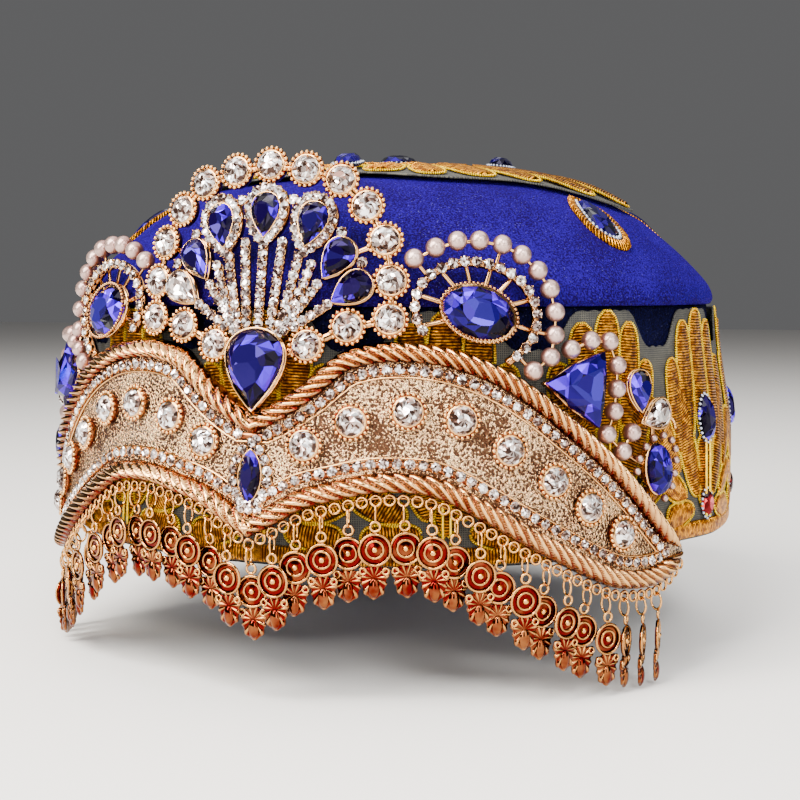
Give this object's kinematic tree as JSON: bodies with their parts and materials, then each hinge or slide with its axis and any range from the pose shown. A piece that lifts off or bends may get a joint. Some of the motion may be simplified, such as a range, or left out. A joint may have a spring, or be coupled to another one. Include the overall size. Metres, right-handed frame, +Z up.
{
  "type": "dance crown",
  "caption": "Stage headdress: a round velvet cap with gold embroidered walls and a jewelled metal tiara front with a rhinestone fan, pearls and a hanging charm fringe.",
  "frame": {"origin": "centre of the cap's rim, in the plane where the head band meets the head", "axes": "+Z up as worn, the jewelled front faces -Y, +X is to the right seen from the front"},
  "size_m": [0.198, 0.2046, 0.1346],
  "materials": {
    "velvet": "short-pile velvet",
    "navy_felt": "matt wool felt",
    "gold_thread": "metallic thread embroidery on net",
    "rose_gold": "polished rose-gold plate",
    "blue_glass": "polished cut glass, foiled back",
    "clear_glass": "polished cut glass, foiled back",
    "pearl": "pearl lustre beads on gilt wire"
  },
  "bodies": {
    "root": {"cap_band": "navy_felt", "cap_top": "velvet", "side_applique": "gold_thread", "top_applique": "gold_thread", "tiara_plate": "rose_gold", "crest": "rose_gold", "pendant_fringe": "rose_gold", "centre_pear": "blue_glass", "centre_marquise": "blue_glass", "fan_drop_1": "blue_glass", "fan_drop_2": "blue_glass", "fan_drop_3": "blue_glass", "fan_drop_4": "blue_glass", "fan_drop_5": "blue_glass", "fan_drop_6": "blue_glass", "fan_drop_7": "clear_glass", "oval_frame_left": "pearl", "side_cluster_left": "pearl", "oval_stone_left": "blue_glass", "triangle_stone_left": "blue_glass", "blue_pear_left": "blue_glass", "end_oval_left": "blue_glass", "clear_pear_left": "clear_glass", "oval_frame_right": "pearl", "side_cluster_right": "pearl", "oval_stone_right": "blue_glass", "triangle_stone_right": "blue_glass", "blue_pear_right": "blue_glass", "end_oval_right": "blue_glass", "clear_pear_right": "clear_glass"}
  },
  "joints": []
}
